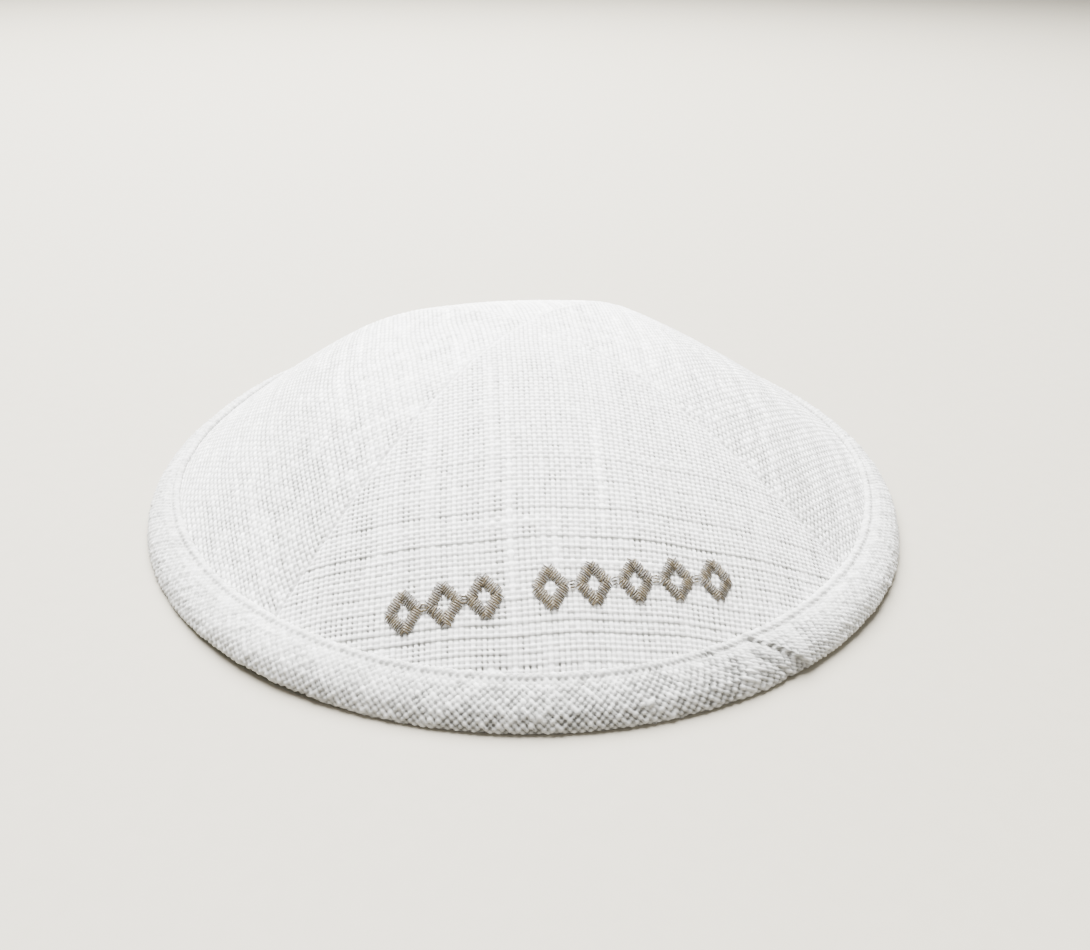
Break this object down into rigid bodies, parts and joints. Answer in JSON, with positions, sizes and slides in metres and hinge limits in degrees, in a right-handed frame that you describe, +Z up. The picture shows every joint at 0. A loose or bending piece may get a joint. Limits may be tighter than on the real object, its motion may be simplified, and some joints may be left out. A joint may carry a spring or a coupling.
{
  "type": "kippah skullcap",
  "caption": "Round skullcap of sewn linen crown panels with a folded bias hem band round its open rim.",
  "frame": {"origin": "on the surface the cap rests on, under the middle of the crown", "axes": "+Z up through the top of the crown, the middle of the front panel towards -Y, +X to the right of someone facing the front"},
  "size_m": [0.1586, 0.1603, 0.0374],
  "materials": {
    "crown_linen": "white slubby plain-weave linen, threads about 0.95 mm apart",
    "band_linen": "the same white linen cut on the bias, folded and stitched"
  },
  "bodies": {
    "root": {"front_panel": "crown_linen", "right_panel": "crown_linen", "back_panel": "crown_linen", "left_panel": "crown_linen", "hem_band": "band_linen"}
  },
  "joints": []
}
